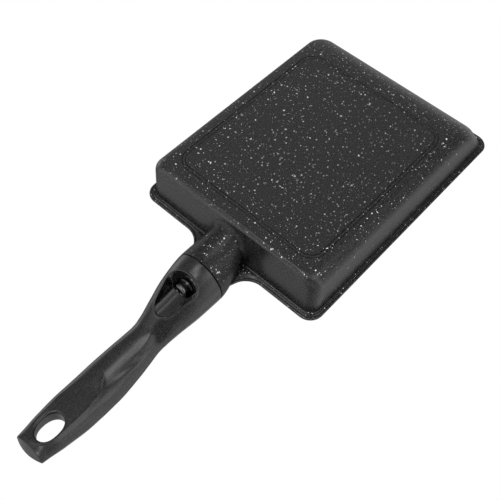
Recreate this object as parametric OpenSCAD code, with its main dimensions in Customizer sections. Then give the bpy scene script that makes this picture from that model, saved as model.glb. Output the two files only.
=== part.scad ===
// Rectangular rolled-omelette pan: one die-cast tray with a round cast collar,
// and a one-piece moulded handle held by a screw with two washers.
// The origin is the middle of the underside. +Z is up and +X points to the handle.

/* [Tray] */
// Length of the rim, along the handle's direction
rim_length = 205.5; // [180:0.5:240]
// Width of the rim
rim_width = 150; // [120:1:180]
// Height of the rim above the table
tray_height = 36.5; // [30:0.5:45]
// Radius of the rim's corners
rim_corner = 10.2; // [8:0.1:16]
// Radius of the walls' corners at the handle
near_corner = 8; // [6:0.5:10]
// Radius of the far walls' corners under the lip
far_corner = 8; // [6:0.5:10]
// How much the far corners' radius grows towards the base
far_corner_growth = 4; // [0:0.5:6]
// Distance from the origin to the rim at the handle
rim_near = 86; // [80:0.5:92]
// Width of the flat lip along the sides and the far end
lip_width = 3.6; // [3:0.1:6]
// Width of the lip at the handle
near_lip = 4.6; // [4:0.1:6]
// Thickness of the lip
lip_thick = 2; // [1.6:0.1:3]
// Thickness of the cast walls
wall = 2.8; // [2:0.1:4]
// Thickness of the cast base
base_thick = 3.2; // [2.4:0.1:5]
// Round between the base and the side walls
side_round = 11.5; // [6:0.5:14]
// Round between the base and the wall at the handle
near_round = 3.2; // [3.2:0.1:6]
// Round between the base and the far wall
far_round = 34; // [28:0.5:36]
// Slope of the far wall above its round, from the vertical
far_slope = 36; // [30:1:40]

/* [Base channel] */
// Length of the shallow channel's outline under the base
channel_length = 140.4; // [120:0.2:142]
// Width of the channel's outline
channel_width = 117; // [90:0.5:118]
// Width of the channel itself
channel_line = 2.5; // [1.5:0.1:4]
// Depth of the channel
channel_depth = 0.5; // [0.3:0.1:0.8]
// Corner radius of the channel's outline
channel_corner = 11.5; // [8:0.5:20]

/* [Collar and joint] */
// Radius of the collar and of the handle where they meet
joint_r = 19; // [17:0.1:21]
// Height of the joint's centre above the table
joint_z = 35.7; // [33:0.1:38]
// Distance from the rim to the joint
joint_gap = 21.3; // [18:0.1:26]
// Radius of the collar at the tray's wall
root_r = 12.6; // [11:0.1:13.5]
// Height of the collar's centre at the tray's wall
root_z = 20.6; // [19:0.1:21]
// Radius of the webs between the lip and the collar
web_r = 14.5; // [10:0.5:16]
// Width of the cast key that stops the handle turning
key_width = 20; // [16:0.5:22]
// Height of the key
key_height = 13; // [11:0.5:16]
// Length of the key inside the handle
key_length = 5; // [3:0.5:6]
// Clearance of the handle's socket round the key
key_gap = 0.2; // [0.1:0.05:0.4]

/* [Handle] */
// Distance from the rim to the handle's end
handle_reach = 168.4; // [150:0.2:190]
// Thickness of the handle where it turns into its end
end_thick = 7.6; // [7:0.2:9]
// Radius of the bowed end
end_bow = 27; // [22:1:40]
// Half width of the handle at its neck
neck_w = 11.8; // [11:0.1:14]
// Half width of the grip where it is widest
grip_w = 15.3; // [14:0.1:18]
// Half width of the handle at its end
end_w = 11; // [10:0.1:11.6]
// Height of the grip's centre above the table
grip_z = 59.6; // [56:0.2:62]
// Length of the hanging hole
hole_length = 19.6; // [17:0.2:24]
// Width of the hanging hole
hole_width = 14; // [11:0.2:15]
// Distance from the handle's end to the hole's centre
hole_back = 18.8; // [17:0.2:24]
// Distance from the handle's end to the tip of the leaf-shaped scoop under the grip
scoop_reach = 61.2; // [56:0.2:64]
// Half width of the scoop
scoop_w = 9.4; // [8:0.1:10]
// Slope of the scoop's floor, in degrees
scoop_slope = 2.4; // [1.8:0.2:3]

/* [Screw] */
// Radius of the screw's shank
shank_r = 2.9; // [2.4:0.1:3.2]
// Radius of the screw's head
head_r = 5.2; // [4.8:0.1:5.6]
// Height of the screw's head
head_h = 3.6; // [3:0.1:4.5]
// Length of the shank under the head
shank_l = 29; // [26:0.5:31]
// Upward tilt of the screw towards the tray, in degrees
screw_tilt = 5; // [3:1:8]
// Radius of the washers
washer_r = 5.9; // [5.7:0.1:6.4]
// Thickness of the plain washer
plain_t = 1.2; // [0.8:0.1:1.6]
// Thickness of the spring washer
spring_t = 1.6; // [1.2:0.1:2]
// Radius of the screw's pocket
pocket_r = 8; // [7.5:0.1:8.5]
// Distance from the joint to the pocket's seat
seat_depth = 13; // [12:0.1:14]
// Height of the screw's axis where it crosses the joint
axis_z = 32.6; // [31:0.1:34]

/* [Hidden] */
$fn = 64;

mid_x = rim_near - rim_length / 2;
far_x = rim_near - rim_length;
joint_x = rim_near + joint_gap;
end_x = rim_near + handle_reach;
lip_z = tray_height - lip_thick;
wall_draft = 1.3;
least_round = 1.2;
bore_gap = 0.15;
tip_gap = 2;
cut = 1;
scoop_z = grip_z - 9.5;
scoop_past_end = 0.9;
flare_start = 1.8;

// Reach of an arc of radius r at the height h, and how far a round brings a wall in there.
function arc_reach(h, r) = sqrt(max(h, 0) * (2 * r - h));
function round_in(h, r) = h >= r ? 0 : r - arc_reach(h, r);

// Where the three kinds of wall stand at the height z. The inset t and the base z0 give
// the cavity. The far wall is an arc that leaves the base and ends in a straight slope.
function near_wall(z, t, z0) = rim_near - near_lip - t - (lip_z - z) * tan(wall_draft)
    - round_in(z - z0, max(near_round - t, least_round));
function side_wall(z, t, z0) = rim_width / 2 - lip_width - t - (lip_z - z) * tan(wall_draft)
    - round_in(z - z0, side_round - t);
function far_wall(z, t, z0) = let (a = 90 - far_slope, r = far_round - t, top = z0 + r * (1 - cos(a)),
    arc_x = far_x + lip_width + (lip_z - far_round * (1 - cos(a))) * tan(far_slope) + far_round * sin(a))
    z < top ? arc_x - arc_reach(z - z0, r) : arc_x - r * sin(a) - (z - top) * tan(far_slope);

// One level of the tray: a rectangle with round corners.
corner_steps = 8;
function corner(x, y, r, start) =
    [for (i = [0:corner_steps]) let (a = start + i * 90 / corner_steps) [x + r * cos(a), y + r * sin(a)]];
function tray_ring(z, t, z0) = let (near = near_wall(z, t, z0), far = far_wall(z, t, z0),
    y = side_wall(z, t, z0), rn = near_corner - t,
    rf = far_corner + far_corner_growth * (1 - min(z, lip_z) / lip_z) - t)
    [for (p = concat(corner(near - rn, y - rn, rn, 0), corner(far + rf, y - rf, rf, 90),
                     corner(far + rf, rf - y, rf, 180), corner(near - rn, rn - y, rn, 270)))
        [p[0], p[1], z]];

// Tray form: levels that lie close together in the rounds, then one straight wall.
round_levels = 11;
round_top = 15;
module tray_form(t, z0, top) {
    levels = concat([for (k = [0:round_levels]) z0 + round_top * pow(k / round_levels, 2)], [top]);
    loft([for (z = levels) tray_ring(z, t, z0)]);
}

module rounded_plate(length, width, r) {
    hx = length / 2 - r;
    hy = width / 2 - r;
    union() {
        square([length, width - 2 * r], center = true);
        square([length - 2 * r, width], center = true);
        for (x = [-hx, hx], y = [-hy, hy]) translate([x, y]) circle(r = r);
    }
}

module base_channel() {
    length = channel_length - 2 * channel_line;
    width = channel_width - 2 * channel_line;
    translate([0, 0, -cut]) linear_extrude(channel_depth + cut) difference() {
        rounded_plate(channel_length, channel_width, channel_corner);
        rounded_plate(length, width, channel_corner - channel_line);
    }
}

// A closed skin over rings of points that all have the same count.
module loft(rings) {
    n = len(rings[0]);
    m = len(rings);
    side = [for (k = [0:m - 2], i = [0:n - 1], h = [0, 1]) let (j = (i + 1) % n)
        h == 0 ? [k * n + i, (k + 1) * n + i, (k + 1) * n + j]
               : [k * n + i, (k + 1) * n + j, k * n + j]];
    first = [for (i = [1:n - 2]) [0, i, i + 1]];
    last = [for (i = [1:n - 2]) [(m - 1) * n, (m - 1) * n + i + 1, (m - 1) * n + i]];
    polyhedron(points = [for (ring = rings) for (p = ring) p], faces = concat(side, first, last));
}

// Collar rings from inside the tray's wall to the joint. The centre rises and the
// radius grows quickly at first and then settles to the joint's radius.
collar_rings = 7;
collar_start = rim_near - near_lip - wall / 2;
function ease(u) = 1 - pow(1 - u, 1.7);
function collar_ring(u) = let (e = ease(u), x = collar_start + (joint_x - collar_start) * u,
    r = root_r + (joint_r - root_r) * e, z = root_z + (joint_z - root_z) * e)
    [for (i = [0:47]) [x, r * cos(i * 7.5), z + r * sin(i * 7.5)]];

// Flat webs that carry the lip round into the collar on both sides.
module lip_webs() {
    arc_y = joint_r + web_r;
    for (s = [0, 1]) mirror([0, s, 0])
        translate([0, 0, lip_z]) linear_extrude(lip_thick) difference() {
            translate([rim_near - near_lip, 0]) square([near_lip + web_r, arc_y]);
            translate([rim_near + web_r, arc_y]) circle(r = web_r);
        }
}

// Places children on the screw's axis, with +Z pointing from the seat to the tray.
module on_screw_axis() {
    translate([joint_x, 0, axis_z]) rotate([0, -90 + screw_tilt, 0]) children();
}

module joint_key(gap) {
    translate([joint_x - cut, -key_width / 2 - gap, axis_z - key_height / 2 - gap])
        cube([key_length + gap + cut, key_width + 2 * gap, key_height + 2 * gap]);
}

module pan_body() {
    color("#2b2b2c") difference() {
        union() {
            tray_form(0, 0, lip_z);
            translate([mid_x, 0, lip_z]) linear_extrude(lip_thick)
                rounded_plate(rim_length, rim_width, rim_corner);
            loft([for (k = [0:collar_rings]) collar_ring(k / collar_rings)]);
            lip_webs();
            joint_key(0);
        }
        tray_form(wall, base_thick, tray_height + cut);
        base_channel();
        on_screw_axis() translate([0, 0, -key_length - cut - 2])
            cylinder(r = shank_r + bore_gap, h = shank_l - seat_depth + key_length + cut + tip_gap);
    }
}

// Share of the length at which the underside turns into the end's face.
end_edge = 0.978;

// Handle stations. Each is the share of the handle's length, the height of the centre,
// the half width, the depth below the centre, the depth above it, and the squareness
// of the lower half, where 2 is an ellipse.
stations = [
    [0, joint_z, joint_r, joint_r, joint_r, 2],
    [0.12, joint_z + 4.1, 17.4, 17.4, 16.6, 2],
    [0.23, grip_z - 13.9, 14.1, 14.2, 13, 2],
    [0.335, grip_z - 7.8, neck_w, 11.7, 9.5, 2.1],
    [0.47, grip_z - 3.2, 13.9, 9.1, 7.5, 2.2],
    [0.6, grip_z - 0.9, grip_w, 8.7, 6.7, 2.4],
    [0.74, grip_z + 0.3, 15.1, 10.2, 6, 2.5],
    [0.875, grip_z - 0.2, 13.3, 9.4, 4.4, 2.5],
    [0.95, grip_z - 2, 12.1, 6.2, 4.3, 2.4],
    [end_edge, grip_z - 2.7, end_w + 0.6, end_thick / 2, end_thick / 2, 2.4],
    [1, grip_z - 2.1, end_w, 1.7, 2.7, 2.2]];

// Monotone cubic interpolation between stations, for value number c.
function slope(k, c) = (stations[k + 1][c] - stations[k][c]) / (stations[k + 1][0] - stations[k][0]);
function tangent(k, c) = let (n = len(stations) - 1)
    k == 0 ? slope(0, c) * (c == 2 ? 0.2 : 0.6) : k == n ? slope(n - 1, c)
    : slope(k - 1, c) * slope(k, c) <= 0 ? 0
    : 2 * slope(k - 1, c) * slope(k, c) / (slope(k - 1, c) + slope(k, c));
function span(u, k = 0) = u <= stations[k + 1][0] || k == len(stations) - 2 ? k : span(u, k + 1);
function value(u, c) = let (k = span(u), h = stations[k + 1][0] - stations[k][0],
    t = (u - stations[k][0]) / h)
    (1 + 2 * t) * pow(1 - t, 2) * stations[k][c] + t * pow(1 - t, 2) * h * tangent(k, c)
    + t * t * (3 - 2 * t) * stations[k + 1][c] + t * t * (t - 1) * h * tangent(k + 1, c);

handle_rings = 26;
ring_shares = concat([for (k = [0:handle_rings - 1]) k / handle_rings], [end_edge, 1]);
ring_points = 40;
function power(v, e) = sign(v) * pow(abs(v), e);
function handle_ring(u) = let (z = value(u, 1), w = value(u, 2), low = value(u, 3), high = value(u, 4),
    e = 2 / value(u, 5), x = joint_x + (end_x - joint_x) * u)
    [for (i = [0:ring_points - 1]) let (a = i * 360 / ring_points, s = sin(a), up = s > 0,
        y = w * power(cos(a), up ? 1 : e))
        [x - (u == 1 ? y * y / (2 * end_bow) : 0), y, z + (up ? high * s : low * power(s, e))]];

// Leaf outline of the scoop: two arcs that meet in a point towards the tray, cut off
// straight behind the hanging hole.
module leaf(half_length, half_width, length) {
    r = (pow(half_length, 2) + pow(half_width, 2)) / (2 * half_width);
    intersection() {
        translate([half_length, half_width - r]) circle(r = r, $fn = 160);
        translate([half_length, r - half_width]) circle(r = r, $fn = 160);
        translate([0, -half_width]) square([length, 2 * half_width]);
    }
}

module screw_pocket() {
    on_screw_axis() translate([0, 0, -seat_depth - 3 * pocket_r - 20])
        cylinder(r = pocket_r, h = 3 * pocket_r + 20);
}

module hole_outline() {
    reach = (hole_length - hole_width) / 2;
    hull() for (x = [-reach, reach]) translate([x, 0]) circle(d = hole_width);
}

// The hole opens out at its upper rim.
module hanging_hole() {
    translate([end_x - hole_back, 0, 0]) {
        linear_extrude(100) hole_outline();
        translate([0, 0, grip_z + flare_start]) linear_extrude(10, scale = 2.4) hole_outline();
    }
}

module scoop() {
    depth = 20;
    translate([end_x - scoop_reach, 0, scoop_z]) rotate([0, -scoop_slope, 0])
        translate([0, 0, -depth]) linear_extrude(depth)
            leaf(scoop_reach / 2 + scoop_past_end, scoop_w, scoop_reach - hole_back + hole_length / 2 + 0.4);
}

module handle() {
    color("#26262a") difference() {
        loft([for (u = ring_shares) handle_ring(u)]);
        joint_key(key_gap);
        screw_pocket();
        on_screw_axis() translate([0, 0, -seat_depth - cut])
            cylinder(r = shank_r + bore_gap, h = seat_depth + 2 * cut);
        hanging_hole();
        scoop();
    }
}

module ring(outer, t) {
    difference() {
        cylinder(r = outer, h = t);
        translate([0, 0, -cut]) cylinder(r = shank_r + bore_gap, h = t + 2 * cut);
    }
}

module plain_washer() {
    color("#c9ccd0") on_screw_axis() translate([0, 0, -seat_depth - plain_t]) ring(washer_r, plain_t);
}

module spring_washer() {
    split = 1;
    color("#b9bcc0") on_screw_axis() translate([0, 0, -seat_depth - plain_t - spring_t]) difference() {
        ring(washer_r - 0.6, spring_t);
        translate([0, -split / 2, -cut]) cube([washer_r, split, spring_t + 2 * cut]);
    }
}

module handle_screw() {
    recess = 2.2;
    color("#d4d7db") on_screw_axis() translate([0, 0, -seat_depth - plain_t - spring_t]) difference() {
        union() {
            translate([0, 0, -head_h]) cylinder(r = head_r, h = head_h);
            cylinder(r = shank_r, h = shank_l);
        }
        for (a = [0, 90]) rotate([0, 0, a])
            translate([-head_r * 0.55, -0.6, -head_h - cut]) cube([head_r * 1.1, 1.2, recess + cut]);
    }
}

pan_body();
handle();
handle_screw();
spring_washer();
plain_washer();
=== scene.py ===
"""Rolled-omelette pan: a speckled cast tray with a round collar, and a moulded handle.

The sizes are in millimetres and follow the solids. Each shape is worked out as whole
arrays, turned into metres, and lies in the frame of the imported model: +Z up, +X from the
tray to the handle's end, and the origin in the middle of the underside.
"""

import math

import bmesh
import bpy
import numpy as np
from mathutils import Matrix, Vector


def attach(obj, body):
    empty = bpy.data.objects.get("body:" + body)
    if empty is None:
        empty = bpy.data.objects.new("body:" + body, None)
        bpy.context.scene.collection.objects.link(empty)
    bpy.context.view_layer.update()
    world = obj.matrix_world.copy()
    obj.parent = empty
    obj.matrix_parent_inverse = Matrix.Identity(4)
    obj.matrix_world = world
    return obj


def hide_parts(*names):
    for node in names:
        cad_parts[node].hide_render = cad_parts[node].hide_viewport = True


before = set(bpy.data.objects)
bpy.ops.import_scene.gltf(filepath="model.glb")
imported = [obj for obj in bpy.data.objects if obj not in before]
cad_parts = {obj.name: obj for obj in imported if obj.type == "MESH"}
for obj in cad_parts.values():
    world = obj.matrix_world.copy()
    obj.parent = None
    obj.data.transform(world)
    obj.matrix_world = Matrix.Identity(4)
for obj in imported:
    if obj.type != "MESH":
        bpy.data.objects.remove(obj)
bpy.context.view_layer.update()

MM = 0.001

# Sizes of the tray
# The rim: its place towards the handle and away from it, its half width and its corners.
RIM_NEAR, RIM_FAR, RIM_HALF, RIM_CORNER = 86.0, -119.5, 75.0, 10.2
# The lip's width at the handle and elsewhere, the tray's height and the lip's thickness.
NEAR_LIP, SIDE_LIP, TRAY_TOP, LIP_THICK = 4.6, 3.6, 36.5, 2.0
LIP_Z = TRAY_TOP - LIP_THICK
# The thickness of the walls and the base, and the lip's fillet below and round inside.
WALL, BASE, LIP_FILLET, INNER_ROUND = 2.8, 3.2, 0.7, 1.3
# The rounds between the base and the walls, and the least one inside.
SIDE_ROUND, NEAR_ROUND, FAR_ROUND, LEAST_ROUND = 11.5, 3.2, 34.0, 1.2
# The lean of the near and side walls, and the far wall's slope above its round.
WALL_DRAFT, FAR_SLOPE = math.tan(math.radians(1.3)), math.radians(36)
# The upright corners, and how much the far ones grow towards the base.
NEAR_CORNER, FAR_CORNER, FAR_GROWTH = 8.0, 8.0, 4.0
# The height up to which the walls have finer rows, for their rounds.
FINE_HEIGHT = 15.0
# The channel's outline, the width of its line and its corners.
CHANNEL_LENGTH, CHANNEL_WIDTH, CHANNEL_LINE, CHANNEL_CORNER = 140.4, 117.0, 2.5, 11.5
# The channel is a flat land between two fine slots: the step out from its inner edge and the depth.
CHANNEL_STEPS = ((-0.24, 0), (-0.17, 0.01), (-0.14, 0.07), (-0.04, 1.05), (0.22, 1.1), (0.36, 0.2),
                 (0.39, 0.13), (0.5, 0.12), (2.0, 0.12), (2.05, 0.13), (2.08, 0.2), (2.2, 1.1),
                 (2.52, 1.05), (2.62, 0.07), (2.65, 0.01), (2.72, 0))
# The lip's underside, a low ridge beside the wall and a shallow hollow beyond it: the share of
# the way out and the height above the lip's plane.
LIP_UNDERSIDE = np.array([[0.22, 0.05], [0.25, -0.1], [0.29, -0.34], [0.34, -0.46], [0.39, -0.4],
                          [0.44, -0.16], [0.49, 0.14], [0.53, 0.3], [0.57, 0.34], [0.62, 0.26],
                          [0.66, 0.1], [0.7, 0.0]])

# Sizes of the collar
# The joint's place, height and radius, and the collar's height and radius at the wall.
JOINT_X, JOINT_Z, JOINT_R, ROOT_Z, ROOT_R = 107.3, 35.7, 19.0, 20.6, 12.6
# The webs' radius, where they leave the collar, and their share of the radius under it.
WEB_R, WEB_FOOT, WEB_MIDDLE = 14.5, 18.4, 0.7
# The fillets at the wall and the lip, the joint's round, and how quickly the collar settles.
ROOT_FILLET, LIP_JOIN, JOINT_ROUND, SETTLING = 3.0, 1.7, 0.45, 1.7
# The key that stops the handle turning, and the screw's height at the joint and its tilt.
KEY_LENGTH, KEY_WIDTH, KEY_HEIGHT, KEY_BEVEL = 5.0, 20.0, 13.0, 0.5
AXIS_Z, SCREW_TILT = 32.6, math.radians(5)

# Sizes of the handle
# The end, the grip's height, and the start behind the joint's fine groove.
END_X, GRIP_Z, HANDLE_START = 254.4, 59.6, JOINT_X + 0.55
# The radius of the bowed end, and where the rows start to bow.
END_BOW, BOW_START = 27.0, 226.0
# The end's slanted face: its length in the middle, how much shorter it gets sideways for each
# millimetre of bow, and its least length. Then the round above it.
END_SLANT, END_LENS, END_LEAST, END_ROUND = 3.6, 1.45, 0.5, 3.2
# The hanging hole, and its rim's rounds below and above.
HOLE_X, HOLE_LENGTH, HOLE_WIDTH, HOLE_SQUARENESS = END_X - 18.8, 19.4, 13.8, 2.25
HOLE_ROUND, HOLE_FLARE = 1.4, 2.4
# The scoop: its tip, its floor's height, and its lean and bow across.
SCOOP_START, SCOOP_Z, SCOOP_LEAN, SCOOP_BOW = 188.0, 50.65, 0.043, 0.0037
# Where the floor is level between its falling tip and its rising tail.
SCOOP_FLAT, SCOOP_FALL, SCOOP_TAIL, SCOOP_RISE = 204.8, 0.0080, 225.0, 0.0018
# The floor's curl beside the hole, and the fine line along the scoop's edge.
CURL_START, CURL_SIDE, SCOOP_CURL = 220.0, 6.8, 0.05
EDGE_START, EDGE_LINE, EDGE_WIDTH = 190.0, 0.2, 0.22
# The pocket: the bore's radius, the screw's seat, and the bead along the rim.
POCKET_R, SEAT_DEPTH, RIM_BEAD, BEAD_WIDTH = 7.0, 13.0, 0.5, 0.5
# The trough behind the bore: its start, its ceiling's height and rise, and its arch.
BORE_MOUTH, MOUTH_BLEND, TROUGH_Z, TROUGH_RISE, TROUGH_R = 125.0, 1.6, 32.2, 0.15, 8.5
# The least depth, and the niche beside the trough.
SHALLOW, NICHE_DEPTH, NICHE_EDGE, NICHE_SLOPE = 0.5, 7.0, 4.8, 1.8
# The screw's head and shank, both washers' thickness, and the head's cross recess.
HEAD_R, HEAD_HEIGHT, HEAD_ROUND, HEAD_CHAMFER = 5.2, 3.6, 1.5, 0.2
SHANK_R, SHANK_LENGTH, TIP_CHAMFER, WASHERS = 2.9, 29.0, 0.5, 2.8
CROSS_SLOT, CROSS_REACH, CROSS_DEPTH, CROSS_EDGE = 0.6, 2.9, 1.6, 0.3


# Mesh tools
def make_piece(name, vertices, faces, material, slot, replaced):
    """A mesh object from arrays in millimetres: its doubles are merged and its faces
    turned outwards. It rides on the body root and stands for the solids it replaces."""
    mesh = bpy.data.meshes.new(name)
    mesh.from_pydata((np.asarray(vertices, float) * MM).tolist(), [], np.asarray(faces).tolist())
    work = bmesh.new()
    work.from_mesh(mesh)
    bmesh.ops.remove_doubles(work, verts=work.verts, dist=1e-6)
    bmesh.ops.dissolve_degenerate(work, edges=work.edges, dist=1e-7)
    bmesh.ops.recalc_face_normals(work, faces=work.faces)
    work.to_mesh(mesh)
    work.free()
    mesh.polygons.foreach_set("use_smooth", np.ones(len(mesh.polygons), bool))
    mesh.materials.append(material)
    piece = bpy.data.objects.new(name, mesh)
    bpy.context.scene.collection.objects.link(piece)
    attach(piece, "root")
    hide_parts(*replaced)
    return piece


def grid_faces(rows, columns, closed):
    """Quads of a grid of rows by columns, row after row. A closed grid joins its last
    column to its first."""
    row = np.arange(rows - 1)[:, None] * columns
    column = np.arange(columns if closed else columns - 1)[None, :]
    after = (column + 1) % columns
    quads = np.stack([row + column, row + after, row + columns + after, row + columns + column], -1)
    return quads.reshape(-1, 4)


def joined(parts):
    """One pair of vertices and faces out of several pairs."""
    vertices, faces, count = [], [], 0
    for points, quads in parts:
        vertices.append(np.asarray(points, float).reshape(-1, 3))
        faces.append(np.asarray(quads) + count)
        count += len(vertices[-1])
    return np.vstack(vertices), np.vstack(faces)


def hermite(stations, at):
    """Monotone cubic curves through the stations' rows. The first column is the place,
    the others are the values, and each tangent is the harmonic mean of its two slopes."""
    table = np.asarray(stations, float)
    place, values = table[:, 0], table[:, 1:]
    step = np.diff(place)[:, None]
    slope = np.diff(values, axis=0) / step
    before, after = slope[:-1], slope[1:]
    same = before * after > 0
    total = np.where(same, before + after, 1)
    inner = np.where(same, 2 * before * after / total, 0)
    tangent = np.vstack([slope[:1] * 0.4, inner, slope[-1:]])
    at = np.asarray(at, float)
    k = np.clip(np.searchsorted(place, at, side="right") - 1, 0, len(place) - 2)
    h = step[k, 0][..., None]
    t = ((at - place[k]) / step[k, 0])[..., None]
    return ((1 + 2 * t) * (1 - t) ** 2 * values[k] + t * (1 - t) ** 2 * h * tangent[k]
            + t * t * (3 - 2 * t) * values[k + 1] + t * t * (t - 1) * h * tangent[k + 1])


def smooth(t):
    """Smooth step: three t squared less two t cubed, between 0 and 1."""
    t = np.clip(t, 0, 1)
    return t * t * (3 - 2 * t)


def hollow(distance, radius):
    """Height of a concave fillet of the given radius at a distance from its wall."""
    share = np.clip(1 - distance / np.maximum(radius, 1e-6), 0, 1)
    return radius * (1 - np.sqrt(1 - share ** 2))


# The cast tray
def round_in(height, radius):
    """How far a round of this radius brings a wall in at a height above its base."""
    low = np.clip(height, 0, radius)
    return radius - np.sqrt(low * (2 * radius - low))


def wall_rows(levels, inset, base):
    """Rows for the walls at the given heights: the near, far and half places, the two
    corner radii, the height and the share of the webs. The far wall is an arc that
    leaves the base and ends in a straight slope."""
    z = np.asarray(levels, float)
    lean = (LIP_Z - z) * WALL_DRAFT
    near = RIM_NEAR - NEAR_LIP - inset - lean - round_in(z - base, max(NEAR_ROUND - inset, LEAST_ROUND))
    half = RIM_HALF - SIDE_LIP - inset - lean - round_in(z - base, SIDE_ROUND - inset)
    turn = math.pi / 2 - FAR_SLOPE
    radius = FAR_ROUND - inset
    arc_x = (RIM_FAR + SIDE_LIP + (LIP_Z - FAR_ROUND * (1 - math.cos(turn))) * math.tan(FAR_SLOPE)
             + FAR_ROUND * math.sin(turn))
    arc_top = base + radius * (1 - math.cos(turn))
    low = np.clip(z - base, 0, radius)
    far = np.where(z < arc_top, arc_x - np.sqrt(low * (2 * radius - low)),
                   arc_x - radius * math.sin(turn) - (z - arc_top) * math.tan(FAR_SLOPE))
    far_corner = FAR_CORNER + FAR_GROWTH * (1 - np.clip(z / LIP_Z, 0, 1)) - inset
    flat = np.zeros_like(z)
    return np.stack([near, far, half, flat + NEAR_CORNER - inset, far_corner, z, flat], 1)


def between(first, second, shares, heights, webs):
    """Rows between two rows, at the given shares of the way, with their own heights."""
    share = np.asarray(shares, float)[:, None]
    rows = (1 - share) * first + share * second
    rows[:, 5] = heights
    rows[:, 6] = webs
    return rows


# How many steps a ring takes at the handle's side, in a corner, along a side and at the far side
NEAR_STEPS, CORNER_STEPS, SIDE_STEPS, FAR_STEPS = 130, 12, 56, 30


def ring_points(rows):
    """Rounded rectangles, one for each row, with matching points: the side at the
    handle, a corner, a long side and so on. Where a row has webs, the side at the
    handle swells out to the arcs that run into the collar."""
    near, far, half, near_corner, far_corner, z, webs = (rows[:, [i]] for i in range(7))
    across = np.linspace(-1, 1, NEAR_STEPS + 1)[None, :]
    quarter = np.linspace(0, math.pi / 2, CORNER_STEPS + 1)[None, 1:-1]
    along = np.linspace(0, 1, SIDE_STEPS + 1)[None, :]
    back = np.linspace(1, -1, FAR_STEPS + 1)[None, :]
    y = across * (half - near_corner)
    reach = np.clip(WEB_FOOT + WEB_R - np.abs(y), 0, WEB_R)
    swell = WEB_R - np.sqrt(WEB_R ** 2 - reach ** 2)
    inside = np.clip(np.abs(y) / WEB_FOOT, 0, 1)
    under_collar = WEB_R * (WEB_MIDDLE + (1 - WEB_MIDDLE) * inside ** 8)
    swell = np.where(np.abs(y) < WEB_FOOT, under_collar, swell)
    near_x, near_y = near - near_corner, half - near_corner
    far_x, far_y = far + far_corner, half - far_corner
    parts = [
        (near + webs * swell, y),
        (near_x + near_corner * np.cos(quarter), near_y + near_corner * np.sin(quarter)),
        (near_x + (far_x - near_x) * along, half + 0 * along),
        (far_x - far_corner * np.sin(quarter), far_y + far_corner * np.cos(quarter)),
        (far + 0 * back, back * far_y),
        (far_x - far_corner * np.cos(quarter), -far_y - far_corner * np.sin(quarter)),
        (far_x + (near_x - far_x) * along, 0 * along - half),
        (near_x + near_corner * np.sin(quarter), -near_y - near_corner * np.cos(quarter))]
    parts = [np.broadcast_arrays(*part) for part in parts]
    x, y = (np.hstack([part[i] for part in parts]) for i in (0, 1))
    return np.stack([x, y, np.broadcast_to(z, x.shape)], -1)


def plate_row(length, width, corner, z):
    """A row for a rounded rectangle round the origin."""
    return np.array([[length / 2, -length / 2, width / 2, corner, corner, z, 0.0]])


def tray_surface():
    """One closed skin of rings: the middle of the underside, the channel, the outer
    walls, the lip with its bead and round edge, the inner walls and the floor."""
    inner_length = CHANNEL_LENGTH - 2 * CHANNEL_LINE
    inner_width = CHANNEL_WIDTH - 2 * CHANNEL_LINE
    inner_corner = CHANNEL_CORNER - CHANNEL_LINE
    rows = []
    for share in (0, 0.3, 0.6, 0.85, 0.97):
        rows.append(plate_row(inner_length * share, inner_width * share, inner_corner * share, 0))
    for step, depth in CHANNEL_STEPS:
        rows.append(plate_row(inner_length + 2 * step, inner_width + 2 * step, inner_corner + step, depth))
    # The outer walls.
    fine = FINE_HEIGHT * np.linspace(0, 1, 30) ** 2
    outer = wall_rows(np.concatenate([fine, np.linspace(FINE_HEIGHT, LIP_Z - LIP_FILLET, 9)[1:]]), 0, 0)
    rows.append(between(rows[-1][0], outer[0], (0.5, 0.9), (0, 0), 0))
    rows.append(outer)
    # The lip: its fillet, its underside, its round edge and its top.
    foot = wall_rows([LIP_Z], 0, 0)[0]
    rim = np.array([RIM_NEAR, RIM_FAR, RIM_HALF, RIM_CORNER, RIM_CORNER, 0, 1.0])
    angle = np.linspace(0.2, math.pi / 2, 6)
    rows.append(between(foot, rim, LIP_FILLET * (1 - np.cos(angle)) / SIDE_LIP,
                        LIP_Z - LIP_FILLET + LIP_FILLET * np.sin(angle), 0))
    share, height = LIP_UNDERSIDE.T
    rows.append(between(foot, rim, share, LIP_Z + height, smooth((share - share[0]) / 0.4)))
    radius = LIP_THICK / 2
    angle = np.linspace(0, math.pi, 15)
    rows.append(between(foot, rim, 1 - radius * (1 - np.sin(angle)) / SIDE_LIP,
                        LIP_Z + radius - radius * np.cos(angle), 1))
    share = np.array([0.66, 0.5, 0.3, 0.0])
    rows.append(between(foot, rim, share, TRAY_TOP, smooth((share - 0.1) / 0.45)))
    # The inner walls, from their round top edge down to the floor.
    top = wall_rows([TRAY_TOP], WALL, BASE)[0]
    rows.append(between(foot, top, (0.25,), TRAY_TOP, 0))
    angle = np.linspace(0, math.pi / 2, 7)
    side = 1 - INNER_ROUND / WALL
    rows.append(between(foot, top, side + (1 - side) * np.sin(angle),
                        TRAY_TOP - INNER_ROUND * (1 - np.cos(angle)), 0))
    upper = np.linspace(TRAY_TOP - INNER_ROUND, BASE + FINE_HEIGHT, 9)[1:-1]
    inner = wall_rows(np.concatenate([upper, BASE + fine[::-1]]), WALL, BASE)
    rows.append(inner)
    centre = np.array([0.0, 0.0, 0.0, 0.0, 0.0, BASE, 0.0])
    rows.append(between(inner[-1], centre, (0.05, 0.2, 0.45, 0.7, 1.0), BASE, 0))
    points = ring_points(np.vstack(rows))
    count, columns = points.shape[:2]
    return points.reshape(-1, 3), grid_faces(count, columns, True)


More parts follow.
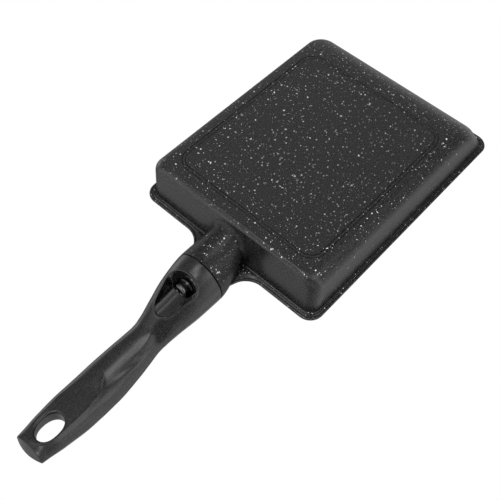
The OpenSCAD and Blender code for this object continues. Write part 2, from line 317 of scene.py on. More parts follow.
def collar_surface():
    """The collar: circles whose centre rises and whose radius grows, quickly at first
    and then settling to the joint's. Concave fillets widen it at the wall and beside the
    lip and webs. It ends in a small round at the joint and is closed at both ends."""
    bent, rounded = 0.42, 0.97
    share = np.concatenate([[-0.03], bent * np.linspace(0, 1, 40) ** 1.5, np.linspace(bent, rounded, 34)[1:],
                            np.linspace(rounded, 1, 9)[1:]])[:, None]
    angle = np.linspace(0, 2 * math.pi, 145)[None, :-1]
    grow = 1 - (1 - np.clip(share, 0, 1)) ** SETTLING
    radius = ROOT_R + (JOINT_R - ROOT_R) * grow
    centre = ROOT_Z + (JOINT_Z - ROOT_Z) * grow
    height = centre + radius * np.sin(angle)
    wall = RIM_NEAR - NEAR_LIP - (LIP_Z - height) * WALL_DRAFT
    x = wall + (JOINT_X - wall) * share
    web = WEB_R - np.sqrt(WEB_R ** 2 - np.clip(RIM_NEAR + WEB_R - x, 0, WEB_R) ** 2)
    away = np.maximum(np.maximum(LIP_Z - height, height - TRAY_TOP), 0)
    radius = radius + hollow(x - wall, ROOT_FILLET) + hollow(away, np.minimum(LIP_JOIN, 0.8 * web))
    radius = radius - hollow(JOINT_X - x, JOINT_ROUND)
    y, z = radius * np.cos(angle), centre + radius * np.sin(angle)
    points = np.stack([x, y, z], -1)
    first = np.broadcast_to([points[0, 0, 0], 0, centre[0, 0]], points[:1].shape)
    last = np.broadcast_to([JOINT_X, 0, centre[-1, 0]], points[:1].shape)
    points = np.concatenate([first, points, last])
    count, columns = points.shape[:2]
    return points.reshape(-1, 3), grid_faces(count, columns, True)


def box_surface(low, high, bevel):
    """A closed box with bevelled edges, as rings along X from one pole to the other."""
    low, high = np.asarray(low, float), np.asarray(high, float)
    middle, half = (low + high) / 2, (high - low) / 2
    corner = np.array([[1, 1], [-1, 1], [-1, -1], [1, -1]])
    pole, inset, full = np.zeros(2), half[1:] - bevel, half[1:]
    rings = []
    for x, size in ((low[0], pole), (low[0], inset), (low[0] + bevel, full), (high[0] - bevel, full),
                    (high[0], inset), (high[0], pole)):
        rings.append(np.column_stack([np.full(4, x), middle[1:] + corner * size]))
    return np.vstack(rings), grid_faces(len(rings), len(corner), True)


# The moulded handle
# Stations: the place along X, the centre's height, the half width, the depth below the
# centre, the height above it and the squareness of the underside.
SPAN = END_X - JOINT_X
STATIONS = [
    [JOINT_X, JOINT_Z, JOINT_R, JOINT_R, JOINT_R, 2.0],
    [JOINT_X + 0.12 * SPAN, JOINT_Z + 4.1, 17.4, 17.35, 16.6, 2.0],
    [JOINT_X + 0.23 * SPAN, GRIP_Z - 13.9, 14.1, 14.1, 13.0, 2.1],
    [JOINT_X + 0.29 * SPAN, GRIP_Z - 10.2, 12.45, 12.0, 10.9, 2.05],
    [JOINT_X + 0.335 * SPAN, GRIP_Z - 7.8, 11.8, 10.8, 9.5, 2.06],
    [JOINT_X + 0.4 * SPAN, GRIP_Z - 5.2, 12.75, 10.6, 8.4, 2.2],
    [JOINT_X + 0.47 * SPAN, GRIP_Z - 3.2, 13.9, 10.1, 7.5, 2.36],
    [JOINT_X + 0.6 * SPAN, GRIP_Z - 0.9, 15.3, 9.0, 6.7, 2.2],
    [JOINT_X + 0.74 * SPAN, GRIP_Z + 0.3, 15.1, 10.4, 5.95, 2.45],
    [JOINT_X + 0.875 * SPAN, GRIP_Z - 0.2, 13.3, 9.6, 4.4, 2.9],
    [JOINT_X + 0.95 * SPAN, GRIP_Z - 2.0, 12.1, 6.3, 4.2, 2.15],
    [JOINT_X + 0.978 * SPAN, GRIP_Z - 2.2, 11.6, 4.7, 3.7, 2.4],
    [END_X, GRIP_Z - 2.2, 11.0, 4.4, 3.3, 2.4]]
LONG_STEPS, CROSS_STEPS = 380, 108
# The first rows' distances from the joint and the last rows' distances from the end.
START_ROWS = np.array([0, 0.04, 0.12, 0.24, 0.4, 0.75])
END_ROWS = np.array([4.9, 4.4, 4.0, 3.7, 3.3, 2.9, 2.5, 2.1, 1.7, 1.3, 0.9, 0.6, 0.35, 0.15, 0])
# Where the pocket and the hanging hole lie in the grid: the places along X and the columns on each
# side of the middle, and the places where the grid is straight again.
POCKET_SPAN, POCKET_COLUMNS, POCKET_CALM, POCKET_POLE = (121, 143), 33, (111, 156), 130.0
HOLE_SPAN, HOLE_COLUMNS, HOLE_CALM = (228, 243), 26, 208
# The crest and the valley beside it: the place along X, the valley's place across and
# its depth, the crest's place across and its height.
CREST = [[138, -8.8, 0.0, -1.9, 0.0], [148, -8.8, 1.54, -1.9, 0.1], [154, -8.3, 1.21, -4.2, 0.47],
         [160, -7.8, 1.14, -6.2, 1.05], [166, -7.7, 1.02, -6.5, 0.75], [172, -7.5, 0.85, -5.6, 0.3],
         [178, -6.8, 0.75, -4.5, 0.15], [185, -5.6, 0.5, -2.9, 0.1], [193, -4.3, 0.18, -1.5, 0.0],
         [200, -2.5, 0.0, -0.4, 0.0]]
VALLEY_WIDTHS, CREST_WIDTHS = (7.4, 4.1), (2.9, 1.7)
# The pocket's rim: its middle and reach along X, and its half width at five turns on the way
# from its front to its tail.
POCKET_MIDDLE, POCKET_REACH = 132.05, 14.05
POCKET_TURNS = np.radians([34.7, 55.0, 79.1, 101.7, 131.7])
POCKET_HALVES = np.array([9.5, 11.5, 10.5, 9.0, 6.8])
POCKET_WAVES = np.linalg.solve(np.sin(POCKET_TURNS[:, None] * np.arange(1, 6)), POCKET_HALVES)


def half_width(x):
    """The plan's half width, less the small round at the joint."""
    return hermite(STATIONS, x)[..., 1] - hollow(x - HANDLE_START, JOINT_ROUND)


def end_distance(x, y):
    """Distance to the bowed end line, which falls back by y squared over twice its radius."""
    return END_X - y ** 2 / (2 * END_BOW) - x


def section(x, y):
    """The underside's and the top's heights over the plan. Each is a superellipse whose
    depth shrinks to nothing at the end line: round above, and below a slanted face that
    is widest in the middle, like a lens."""
    centre, half, low, high, square = np.moveaxis(hermite(STATIONS, x), -1, 0)
    start = hollow(x - HANDLE_START, JOINT_ROUND)
    share = np.clip(np.abs(y) / (half - start), 0, 1)
    far = np.maximum(end_distance(x, y), 0)
    face = np.maximum(END_SLANT - END_LENS * y ** 2 / (2 * END_BOW), END_LEAST)
    slant = (1 - (1 - np.clip(far / face, 0, 1)) ** 1.15) ** (1 / 1.1)
    bowl = np.sqrt(1 - (1 - np.clip(far / END_ROUND, 0, 1)) ** 2)
    below = (low - start) * (1 - share ** square) ** (1 / square) * slant
    above = (high - start) * np.sqrt(1 - share ** 2) * bowl
    return centre - below, centre + above


def scoop_floor(x, y):
    """The leaf-shaped scoop's floor: a shallow dish that leaves the underside at the
    scoop's tip and again in front of the end. It leans a little across, and its side
    beside the hanging hole curls down towards the rim. In front of the tip it lies far
    below the handle, so that it takes nothing away."""
    fall = SCOOP_FALL * np.maximum(SCOOP_FLAT - x, 0) ** 2
    curl = SCOOP_CURL * np.maximum(y - CURL_SIDE, 0) ** 2 * smooth((x - CURL_START) / 10)
    rise = SCOOP_RISE * np.maximum(x - SCOOP_TAIL, 0) ** 2 + SCOOP_BOW * y ** 2
    return np.where(x > SCOOP_START, SCOOP_Z + SCOOP_LEAN * y - fall - curl + rise, -1000)


def crest_valley(x, y):
    """How far the underside gives way for a valley, less a low ridge beside it. Both have
    one width towards +Y and another towards -Y. They start behind the pocket and fade at
    the scoop."""
    place = hermite(CREST, np.clip(x, CREST[0][0], CREST[-1][0]))
    valley, crest = y - place[..., 0], y - place[..., 2]
    dip = 1 - smooth(np.where(valley > 0, valley / VALLEY_WIDTHS[0], -valley / VALLEY_WIDTHS[1]))
    ridge = np.exp(-(crest / np.where(crest > 0, *CREST_WIDTHS)) ** 2)
    return place[..., 1] * dip - place[..., 3] * ridge


def hole_outline(p, q, grow=0.0):
    """The hanging hole's superellipse for points on the unit square's edge."""
    c, s = p * np.sqrt(1 - q * q / 2), q * np.sqrt(1 - p * p / 2)
    power = 2 / HOLE_SQUARENESS
    return (HOLE_X + (HOLE_LENGTH / 2 + grow) * np.sign(c) * np.abs(c) ** power,
            (HOLE_WIDTH / 2 + grow) * np.sign(s) * np.abs(s) ** power)


def pocket_half(turn):
    """The pocket's half width at a turn round its rim, as a sum of sines."""
    return (np.sin(turn[..., None] * np.arange(1, 6)) * POCKET_WAVES).sum(-1)


def pocket_outline(p, q):
    """The teardrop rim of the screw's pocket for points on the unit square's edge: X runs
    as a cosine, and the half width is a sum of sines that fits the five widths."""
    c, s = p * np.sqrt(1 - q * q / 2), q * np.sqrt(1 - p * p / 2)
    turn = np.arctan2(np.abs(s), -c)
    return POCKET_MIDDLE - POCKET_REACH * np.cos(turn), np.sign(s) * pocket_half(turn)


def pocket_drop(x, y, under):
    """How far the pocket's ceiling lies above the underside. From the joint comes a round
    bore for the screw. From its mouth a trough rises to the tail: an arch on one side,
    with a deeper niche beyond it, and a gentle slope to the rim on the other."""
    axis = AXIS_Z - (x - JOINT_X) * math.tan(SCREW_TILT)
    beside = np.maximum(np.abs(y) - POCKET_R, 0)
    bore = axis + np.sqrt(np.maximum(POCKET_R ** 2 - y ** 2, 0)) - 2 * beside - under
    middle = TROUGH_Z + TROUGH_RISE * (x - BORE_MOUTH)
    arch = TROUGH_R - np.sqrt(TROUGH_R ** 2 - np.clip(y, 0, 0.8 * TROUGH_R) ** 2)
    niche = np.clip(NICHE_SLOPE * (y - NICHE_EDGE), 0, NICHE_DEPTH)
    turn = np.arccos(np.clip((POCKET_MIDDLE - x) / POCKET_REACH, -1, 1))
    half = np.maximum(pocket_half(turn), 1)
    slope = (middle - section(x, 0 * y)[0]) * (1 - np.clip(-y / half, 0, 1) ** 2)
    trough = np.where(y > 0, middle - arch + niche - under, slope)
    return np.maximum(bore + (trough - bore) * smooth((x - BORE_MOUTH) / MOUTH_BLEND + 0.5), SHALLOW)


def block_places(index, block, region):
    """Places of the indices as numbers that are 1 at the block's edges and 2 at the
    region's edges."""
    (first, last), (start, stop) = block, region
    return np.interp(index, [start, first, last, stop], [-2, -1, 1, 2])


def wrap_round(plan, block, region, outline, middle):
    """Bends the plan grid so that the block's edge lies on an outline. Between it and the
    region's edge, points go straight from the outline to the edge along the same ray of
    a square. Inside the block, the outline shrinks to its middle."""
    x, y = plan
    (i0, i1), (j0, j1) = region
    i, j = np.meshgrid(np.arange(i0, i1 + 1), np.arange(j0, j1 + 1), indexing="ij")
    p = block_places(i, block[0], region[0])
    q = block_places(j, block[1], region[1])
    ring = np.maximum(np.maximum(np.abs(p), np.abs(q)), 1e-9)
    inner_x, inner_y = outline(p / ring, q / ring)
    stops = [-2, -1, 1, 2]
    edge_i = np.interp(2 * p / ring, stops, [i0, block[0][0], block[0][1], i1])
    edge_j = np.interp(2 * q / ring, stops, [j0, block[1][0], block[1][1], j1])
    i_low = np.clip(edge_i.astype(int), 0, x.shape[0] - 2)
    j_low = np.clip(edge_j.astype(int), 0, x.shape[1] - 2)
    fi, fj = edge_i - i_low, edge_j - j_low
    outer = [(1 - fi) * ((1 - fj) * g[i_low, j_low] + fj * g[i_low, j_low + 1])
             + fi * ((1 - fj) * g[i_low + 1, j_low] + fj * g[i_low + 1, j_low + 1]) for g in (x, y)]
    share = np.clip(ring - 1, 0, 1)
    share = share * (0.4 + 0.6 * share)
    shrink = np.sin(np.clip(ring, 0, 1) * math.pi / 2)
    inside = middle + (inner_x - middle) * shrink
    new_x = np.where(ring > 1, inner_x + (outer[0] - inner_x) * share, inside)
    new_y = np.where(ring > 1, inner_y + (outer[1] - inner_y) * share, inner_y * shrink)
    x[i0:i1 + 1, j0:j1 + 1], y[i0:i1 + 1, j0:j1 + 1] = new_x, new_y


def handle_plan():
    """The handle's plan grid: rows along X, which bow more and more towards the end line,
    and sine-spaced columns across. A bowed row and its width are found in a few turns."""
    rows = HANDLE_START + (END_X - HANDLE_START) * np.linspace(0, 1, LONG_STEPS + 1)
    rows[:len(START_ROWS)] = HANDLE_START + START_ROWS
    rows[-len(END_ROWS):] = END_X - END_ROWS
    cross = np.sin(np.linspace(-1, 1, CROSS_STEPS + 1) * math.pi / 2)
    x = np.repeat(rows[:, None], CROSS_STEPS + 1, 1)
    straight, bend = x, smooth((x - BOW_START) / (END_X - BOW_START))
    for _ in range(6):
        y = half_width(x) * cross[None, :]
        x = straight - y ** 2 / (2 * END_BOW) * bend
    return x, half_width(x) * cross[None, :]


def scooped(under, x, y):
    """The underside with the scoop. Its edge is a fine raised line on one side and a fine
    groove on the other, each a bell curve over the depth of the cut."""
    depth = scoop_floor(x, y) - under
    under = under + np.maximum(depth, 0) * smooth(depth / 0.06 + 0.5)
    line = EDGE_LINE * np.exp(-((depth - 0.05) / EDGE_WIDTH) ** 2) * smooth((x - EDGE_START) / 6)
    return under + line * np.clip((y - 1.5) / 2, -1, 1)


def pocketed(under, x, y, pocket, region):
    """The underside with the pocket: its ceiling inside the rim, and a bead along the rim,
    which is a bell curve over the distance from it."""
    p = block_places(np.arange(LONG_STEPS + 1), pocket[0], region[0])[:, None]
    q = block_places(np.arange(CROSS_STEPS + 1), pocket[1], region[1])[None, :]
    ring = np.maximum(np.abs(p), np.abs(q))
    rim_x, rim_y = pocket_outline(p / np.maximum(ring, 1e-9), q / np.maximum(ring, 1e-9))
    from_rim = np.hypot(x - rim_x, y - rim_y) * np.where(ring > 1, 1, -1)
    bead = RIM_BEAD * np.exp(-((from_rim - 0.45) / BEAD_WIDTH) ** 2)
    ceiling = under + pocket_drop(x, y, under) * smooth((-from_rim - 0.05) / 0.7)
    return np.where(ring <= 1, ceiling, under) - bead * (ring < 2)


def block_edge(block):
    """The grid indices once round a block's edge."""
    (ia, ib), (ja, jb) = block
    i = [np.arange(ia, ib), np.full(jb - ja, ib), np.arange(ib, ia, -1), np.full(jb - ja, ia)]
    j = [np.full(ib - ia, ja), np.arange(ja, jb), np.full(ib - ia, jb), np.arange(jb, ja, -1)]
    return np.concatenate(i), np.concatenate(j)


def hole_wall(block, under, over):
    """The hanging hole's wall as rings: quarter circles at both rims, the lower one
    small and the upper one wide, and a straight wall between them."""
    i, j = block_edge(block)
    p = np.interp(i, block[0], [-1, 1])
    q = np.interp(j, block[1], [-1, 1])
    bottom, top = under[i, j], over[i, j]
    turns = np.linspace(0, math.pi / 2, 9)
    rings = []
    for a in turns:
        outline = hole_outline(p, q, HOLE_ROUND * (1 - math.sin(a)))
        rings.append(np.column_stack([*outline, bottom + HOLE_ROUND * (1 - math.cos(a))]))
    for share in (0.25, 0.5, 0.75):
        height = (bottom + HOLE_ROUND) * (1 - share) + (top - HOLE_FLARE) * share
        rings.append(np.column_stack([*hole_outline(p, q), height]))
    for a in turns[::-1]:
        outline = hole_outline(p, q, HOLE_ROUND * (1 - math.sin(a)))
        rings.append(np.column_stack([*outline, top - HOLE_FLARE * (1 - math.cos(a))]))
    return np.stack(rings), grid_faces(len(rings), len(i), True)


def handle_surface():
    """Two sheets over one plan grid, joined along the sides and the end, with the
    scoop, the pocket, the hanging hole's wall and the disc at the joint."""
    x, y = handle_plan()
    centre = CROSS_STEPS // 2
    places = (*POCKET_SPAN, *POCKET_CALM, *HOLE_SPAN, HOLE_CALM)
    row = [int(np.argmin(np.abs(x[:, centre] - place))) for place in places]
    pocket = ((row[0], row[1]), (centre - POCKET_COLUMNS, centre + POCKET_COLUMNS))
    pocket_region = ((row[2], row[3]), (0, CROSS_STEPS))
    hole = ((row[4], row[5]), (centre - HOLE_COLUMNS, centre + HOLE_COLUMNS))
    hole_region = ((row[6], LONG_STEPS), (0, CROSS_STEPS))
    lower, upper = (x.copy(), y.copy()), (x.copy(), y.copy())
    for plan in (lower, upper):
        wrap_round(plan, hole, hole_region, lambda p, q: hole_outline(p, q, HOLE_ROUND), HOLE_X)
    wrap_round(lower, pocket, pocket_region, pocket_outline, POCKET_POLE)
    under, over = section(*lower)[0], section(*upper)[1]
    under = scooped(under + crest_valley(*lower), *lower)
    under = pocketed(under, *lower, pocket, pocket_region)
    seam = hermite(STATIONS, upper[0])[..., 0]
    for sheet in (under, over):
        sheet[:, [0, -1]] = seam[:, [0, -1]]
        sheet[-1] = seam[-1]
    faces = grid_faces(LONG_STEPS + 1, CROSS_STEPS + 1, False).reshape(LONG_STEPS, CROSS_STEPS, 4)
    keep = np.ones(faces.shape[:2], bool)
    keep[slice(*hole[0]), slice(*hole[1])] = False
    parts = [(np.stack([*lower, under], -1), faces[keep]), (np.stack([*upper, over], -1), faces[keep]),
             hole_wall(hole, under, over)]
    rim = np.vstack([parts[0][0][0], parts[1][0][0][::-1][1:-1]])
    pole = np.array([rim[0, 0], 0, JOINT_Z])
    disc = np.stack([rim * share + pole * (1 - share) for share in (1, 0.9, 0)])
    parts.append((disc, grid_faces(3, len(rim), True)))
    return joined(parts)


def screw_surface():
    """The screw as rings round its tilted axis: the shank, a round-edged head and a cross
    recess, which is deepest where a point lies near either of the cross's two lines."""
    seat = SEAT_DEPTH + WASHERS
    face = seat + HEAD_HEIGHT
    angle = np.linspace(0, math.pi / 2, 7)
    tip = seat - SHANK_LENGTH
    along = [tip, tip, tip + TIP_CHAMFER, seat, seat, seat + HEAD_CHAMFER]
    radius = [0.0, SHANK_R - TIP_CHAMFER, SHANK_R, SHANK_R, HEAD_R - HEAD_CHAMFER, HEAD_R]
    along = np.concatenate([along, face - HEAD_ROUND * (1 - np.sin(angle)), np.full(30, face)])
    radius = np.concatenate([radius, HEAD_R - HEAD_ROUND * (1 - np.cos(angle)),
                             (HEAD_R - HEAD_ROUND) * np.linspace(0.97, 0, 30)])
    turn = np.linspace(0, 2 * math.pi, 97)[None, :-1]
    u, v = radius[:, None] * np.cos(turn), radius[:, None] * np.sin(turn)
    near_line = np.minimum(np.abs(u), np.abs(v))
    in_slot = smooth((CROSS_SLOT - near_line) / CROSS_EDGE + 0.5)
    in_reach = smooth((CROSS_REACH - np.hypot(u, v)) / CROSS_EDGE + 0.5)
    out = along[:, None] - np.where(along[:, None] == face, CROSS_DEPTH * in_slot * in_reach, 0)
    x = JOINT_X + out * math.cos(SCREW_TILT) - u * math.sin(SCREW_TILT)
    z = AXIS_Z - out * math.sin(SCREW_TILT) - u * math.cos(SCREW_TILT)
    return np.stack([x, v, z], -1).reshape(-1, 3), grid_faces(len(radius), turn.size, True)


# Shader maths
class Value:
    """A node's output in an expression. Operators on values add Math nodes."""

    def __init__(self, shader, socket):
        self.shader, self.socket = shader, socket

    def math(self, operation, first, second):
        return self.shader.node("Math", {"operation": operation}, {0: first, 1: second})

    def __add__(self, other):
        return self.math("ADD", self, other)

    def __sub__(self, other):
        return self.math("SUBTRACT", self, other)

    def __rsub__(self, other):
        return self.math("SUBTRACT", other, self)

    def __mul__(self, other):
        return self.math("MULTIPLY", self, other)

    def __pow__(self, other):
        return self.math("POWER", self, other)

    def __gt__(self, other):
        return self.math("GREATER_THAN", self, other)

    def clamped(self):
        return self.shader.node("Clamp", {}, {0: self})

    __radd__, __rmul__ = __add__, __mul__


class Shader:
    """A node tree that grows one node at a time."""

    def __init__(self, owner):
        owner.use_nodes = True
        self.tree = owner.node_tree
        self.tree.nodes.clear()

    def node(self, kind, settings, inputs, output=0):
        """Adds a node: its type, its settings, the values or links of its sockets, and
        which of its outputs is wanted."""
        made = self.tree.nodes.new("ShaderNode" + kind)
        for name, value in settings.items():
            setattr(made, name, value)
        for name, value in inputs.items():
            if isinstance(value, Value):
                self.tree.links.new(value.socket, made.inputs[name])
            else:
                made.inputs[name].default_value = value
        return Value(self, made.outputs[output]) if len(made.outputs) else made

    def mixed(self, share, first, second):
        """A colour that goes from the first to the second with the share."""
        return self.node("Mix", {"data_type": "RGBA"}, {0: share, 6: first, 7: second}, 2)

    def noise(self, place, scale, detail, output=0):
        """A noise at the place: its value, or its colour as output 1."""
        return self.node("TexNoise", {}, {"Vector": place, "Scale": scale, "Detail": detail}, output)


def grey(shade, blue=1.0):
    """A grey colour, with its blue raised or lowered a little."""
    return shade, shade, shade * blue, 1


# The speckles by size: the pattern's scale, the share of its cells with a speckle, the least
# and the most radius of one as a share of a cell, and the pattern's offset.
LARGE_SPECKLES = (250.0, 0.28, 0.05, 0.185, (0.1, 0.2, 0.3))
SMALL_SPECKLES = (430.0, 0.4, 0.06, 0.195, (0.7, 0.4, 0.9))
TINY_SPECKLES = (700.0, 0.5, 0.06, 0.23, (0.5, 0.8, 0.2))
WALL_SPECKLES = (300.0, 0.24, 0.06, 0.16, (0.3, 0.6, 0.1))
SPECKLE_EDGE, TINY_STRENGTH, WALL_STRENGTH = 26, 0.75, 0.6
SPECKLE_COLOUR = (0.95, 0.95, 0.935, 1)
COATING_DARK, COATING_PALE = grey(0.001), (0.037, 0.037, 0.0375, 1)
PHENOLIC_DARK, PHENOLIC_PALE = grey(0.001), (0.025, 0.025, 0.0255, 1)


def speckles(shader, place, scale, chosen, least, most, offset):
    """Pale dots: cells of a Voronoi pattern of which a share is chosen at random, each
    with its own radius. Returns a mask from 0 to 1."""
    moved = shader.node("Mapping", {}, {0: place, "Location": offset})
    pattern = {"voronoi_dimensions": "3D"}, {"Vector": moved, "Scale": scale}
    distance, colour = (shader.node("TexVoronoi", *pattern, i) for i in (0, 1))
    red, green = (shader.node("SeparateColor", {}, {0: colour}, i) for i in (0, 1))
    radius = green * (most - least) + least
    return ((radius - distance) * SPECKLE_EDGE).clamped() * (red > 1 - chosen)


def coating_material(name, gloss, rough):
    """Black satin non-stick coating with pale speckles of several sizes, torn a little out
    of round: dense on flat faces and sparse on the walls, over a fine uneven skin."""
    material = bpy.data.materials.new(name)
    shader = Shader(material)
    place = shader.node("TexCoord", {}, {}, 3)
    tear = shader.noise(place, 700.0, 1.0, 1)
    shift = shader.node("VectorMath", {"operation": "SUBTRACT"}, {0: tear, 1: (0.5, 0.5, 0.5)})
    torn = shader.node("VectorMath", {"operation": "MULTIPLY_ADD"}, {0: shift, 1: (0.0022,) * 3, 2: place})
    normal = shader.node("NewGeometry", {}, {}, 1)
    up = shader.node("SeparateXYZ", {}, {0: normal}, 2)
    flat = ((up * up) * 1.3 - 0.1).clamped()
    large, small, tiny, wall = (speckles(shader, torn, *size) for size in (
        LARGE_SPECKLES, SMALL_SPECKLES, TINY_SPECKLES, WALL_SPECKLES))
    dots = ((large + small + tiny * TINY_STRENGTH) * flat + wall * WALL_STRENGTH).clamped()
    grain = shader.noise(place, 1900.0, 1.0)
    cloud = shader.noise(place, 60.0, 3.0)
    shade = ((grain - 0.5) * 9 + 0.3 + (cloud - 0.5) * 0.3).clamped()
    dark = shader.mixed(shade, COATING_DARK, COATING_PALE)
    bump = shader.node("Bump", {}, {"Strength": 0.3, "Distance": 0.0001, "Height": grain})
    finish = shader.node("BsdfPrincipled", {}, {
        "Base Color": shader.mixed(dots, dark, SPECKLE_COLOUR), "Roughness": grain * 0.1 + rough,
        "Normal": bump, "IOR": gloss})
    shader.node("OutputMaterial", {}, {0: finish})
    return material


def phenolic_material():
    """Black moulded phenolic resin: satin, slightly mottled, with a fine grain."""
    material = bpy.data.materials.new("phenolic_resin")
    shader = Shader(material)
    place = shader.node("TexCoord", {}, {}, 3)
    mottle = shader.node("TexNoise", {}, {"Vector": place, "Scale": 450.0, "Detail": 5.0, "Roughness": 0.7})
    grain = shader.noise(place, 1500.0, 2.0)
    shade = ((grain - 0.5) * 5 + (mottle - 0.5) * 1.5 + 0.32).clamped()
    height = mottle * 0.6 + grain * 0.4
    bump = shader.node("Bump", {}, {"Strength": 0.35, "Distance": 0.0001, "Height": height})
    finish = shader.node("BsdfPrincipled", {}, {
        "Base Color": shader.mixed(shade, PHENOLIC_DARK, PHENOLIC_PALE), "Roughness": mottle * 0.14 + 0.16,
        "Normal": bump, "IOR": 1.5})
    shader.node("OutputMaterial", {}, {0: finish})
    return material


def plated_material(name, shade):
    """Plated steel with faint turning marks. Its colour is bright, or darkened as painted shade where it
    lies deep in the pocket.
    """
    material = bpy.data.materials.new(name)
    shader = Shader(material)
    place = shader.node("TexCoord", {}, {}, 3)
    marks = shader.noise(place, 900.0, 4.0)
    colour = shader.mixed(marks, (shade * 0.8, shade * 0.8, shade * 0.82, 1), grey(shade, 1.01))
    finish = shader.node("BsdfPrincipled", {}, {
        "Base Color": colour, "Metallic": 1.0, "Roughness": marks * 0.06 + 0.07})
    shader.node("OutputMaterial", {}, {0: finish})
    return material


# The pieces
# Colours of the plated parts: the screw and the spring washer are darkened as painted shade for lying deep
# in the pocket, and the plain washer keeps its bright plating.
SCREW_PAINTED_SHADE_TONE, SPRING_PAINTED_SHADE_TONE, WASHER_SHADE = 0.14, 0.05, 0.6
coating = coating_material("speckled_coating", 1.48, 0.21)
dull_coating = coating_material("speckled_coating_on_the_collar", 1.33, 0.27)
phenolic = phenolic_material()

key_low = (JOINT_X - 1, -KEY_WIDTH / 2, AXIS_Z - KEY_HEIGHT / 2)
key_high = (JOINT_X + KEY_LENGTH, KEY_WIDTH / 2, AXIS_Z + KEY_HEIGHT / 2)
make_piece("cast_tray", *tray_surface(), coating, "pan_body", ["pan_body"])
make_piece("cast_collar", *collar_surface(), dull_coating, "pan_body", ["pan_body"])
make_piece("cast_key", *box_surface(key_low, key_high, KEY_BEVEL), coating, "pan_body", ["pan_body"])
make_piece("moulded_handle", *handle_surface(), phenolic, "handle", ["handle"])
make_piece("cross_recess_screw", *screw_surface(), plated_material("plated_steel_in_painted_shade", SCREW_PAINTED_SHADE_TONE),
           "handle_screw", ["handle_screw"])

# The spring washer's dark colour is painted shade; the plain washer's is its bright plating.
for node, shade in (("spring_washer", SPRING_PAINTED_SHADE_TONE), ("plain_washer", WASHER_SHADE)):
    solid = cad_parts[node]
    solid.data.materials.clear()
    solid.data.materials.append(plated_material("plated_" + node, shade))


# Floor and light
FLOOR_REACH, FLOOR_Z = 4.0, -0.0006
FADE_START, FADE_RATE = 0.3, 2.5


def floor_material():
    """Pale matt floor under the pan that fades into plain white further out. It can be
    seen through from below, as the photo's camera looks up at the underside."""
    material = bpy.data.materials.new("pale_floor")
    shader = Shader(material)
    behind = shader.node("NewGeometry", {}, {}, 6)
    place = shader.node("TexCoord", {}, {}, 3)
    far = shader.node("VectorMath", {"operation": "LENGTH"}, {0: place}, 1)
    colour = shader.mixed(shader.noise(place, 3.0, 2.0), grey(0.95), grey(0.98))
    matt = shader.node("BsdfDiffuse", {}, {"Color": colour})
    white = shader.node("Emission", {}, {"Color": (1, 1, 1, 1), "Strength": 1.0})
    fade = ((far - FADE_START) * FADE_RATE).clamped()
    ground = shader.node("MixShader", {}, {0: fade, 1: matt, 2: white})
    clear = shader.node("BsdfTransparent", {}, {})
    shader.node("OutputMaterial", {}, {0: shader.node("MixShader", {}, {0: behind, 1: ground, 2: clear})})
    return material


floor_mesh = bpy.data.meshes.new("floor")
corners = ((-FLOOR_REACH, -FLOOR_REACH), (FLOOR_REACH, -FLOOR_REACH), (FLOOR_REACH, FLOOR_REACH),
           (-FLOOR_REACH, FLOOR_REACH))
floor_mesh.from_pydata([(x, y, FLOOR_Z) for x, y in corners], [], [(0, 1, 2, 3)])
floor_mesh.materials.append(floor_material())
floor = bpy.data.objects.new("floor", floor_mesh)
bpy.context.scene.collection.objects.link(floor)
floor.visible_shadow = floor.visible_diffuse = floor.visible_glossy = False

world = bpy.data.worlds.new("studio")
bpy.context.scene.world = world
sky = Shader(world)
direction = sky.node("TexCoord", {}, {}, 0)
camera_ray = sky.node("LightPath", {}, {}, 0)
glossy_ray = sky.node("LightPath", {}, {}, 3)
clear_ray = sky.node("LightPath", {}, {}, 6)


def glow(towards, sharpness, gain):
    """A broad soft light in the sky: half of one plus the cosine to its middle, raised to
    a power."""
    unit = Vector(towards).normalized()
    cosine = sky.node("VectorMath", {"operation": "DOT_PRODUCT"}, {0: direction, 1: tuple(unit)}, 1)
    return (cosine * 0.5 + 0.5) ** sharpness * gain


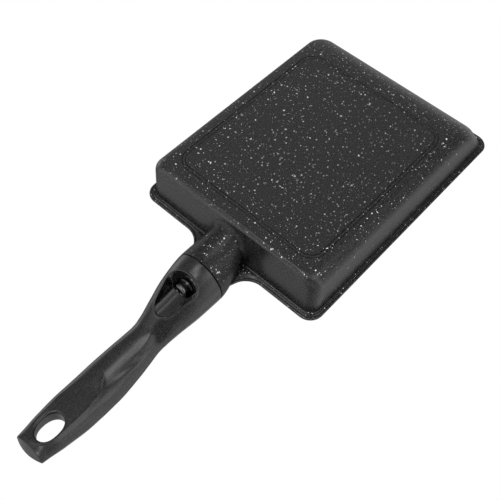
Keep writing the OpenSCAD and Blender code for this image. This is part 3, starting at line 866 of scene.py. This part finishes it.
# The sky's lights: the direction, the sharpness and the gain.
GLOWS = [[(0.12, 0.22, -0.968), 170, 5.2], [(0.342, -0.04, -0.94), 260, 7.0],
         [(-0.1, -0.59, -0.8), 31, 2.5],
         [(0.858, 0.305, -0.413), 11, 1.39], [(-0.23, -0.886, 0.404), 14.3, 1.32],
         [(-0.044, 0.988, 0.145), 44, 1.5], [(0.98, -0.08, 0.1), 36, 0.9],
         [(-0.99, -0.057, 0.13), 16.5, 0.64],
         [(-0.419, 0.549, -0.723), 8.3, 0.5], [(0.773, 0.505, 0.385), 18.7, 1.14],
         [(-0.1, -0.96, -0.25), 36, 1.5], [(0.0, 0.0, 1.0), 30, 0.8], [(0.66, -0.74, 0.12), 40, 1.0]]
DIM_SKY, MIRRORED_BACKDROP = 0.06, 0.1
light = DIM_SKY
for towards, sharpness, gain in GLOWS:
    light = glow(towards, sharpness, gain) + light
# The camera sees a white backdrop, also through the floor, and reflections see a tenth of it.
white = (camera_ray + clear_ray + glossy_ray * MIRRORED_BACKDROP).clamped()
studio = sky.node("Background", {}, {0: (1, 1, 1, 1), 1: light})
backdrop = sky.node("Background", {}, {0: (1, 1, 1, 1), 1: 1.0})
sky.node("OutputWorld", {}, {0: sky.node("MixShader", {}, {0: white, 1: studio, 2: backdrop})})

# A square lamp above, for the side that the photo doesn't show. Reflections don't see it.
lamp = bpy.data.lights.new("lamp_above", "AREA")
lamp.energy, lamp.shape, lamp.size = 12, "SQUARE", 1.0
overhead = bpy.data.objects.new("lamp_above", lamp)
bpy.context.scene.collection.objects.link(overhead)
overhead.location, aim = (0.33, -0.39, 1.41), Vector((0.05, 0, 0))
overhead.rotation_euler = (aim - overhead.location).to_track_quat("-Z", "Y").to_euler()
overhead.visible_glossy = False

# The photo's camera
lens = bpy.data.cameras.new("camera")
lens.sensor_width, lens.lens = 36.0, 56.29
lens.shift_x, lens.shift_y = -0.001, 0.001
lens.clip_start, lens.clip_end = 0.01, 50
camera = bpy.data.objects.new("camera", lens)
bpy.context.scene.collection.objects.link(camera)
right, up, behind = (-0.668, -0.7432, -0.0384), (-0.61, 0.5763, -0.5438), (0.4262, -0.3398, -0.8384)
turned = Matrix((right, up, behind)).transposed()
camera.matrix_world = Matrix.Translation((0.2892, -0.1843, -0.3950)) @ turned.to_4x4()
bpy.context.scene.camera = camera
bpy.context.scene.view_settings.view_transform = "Standard"
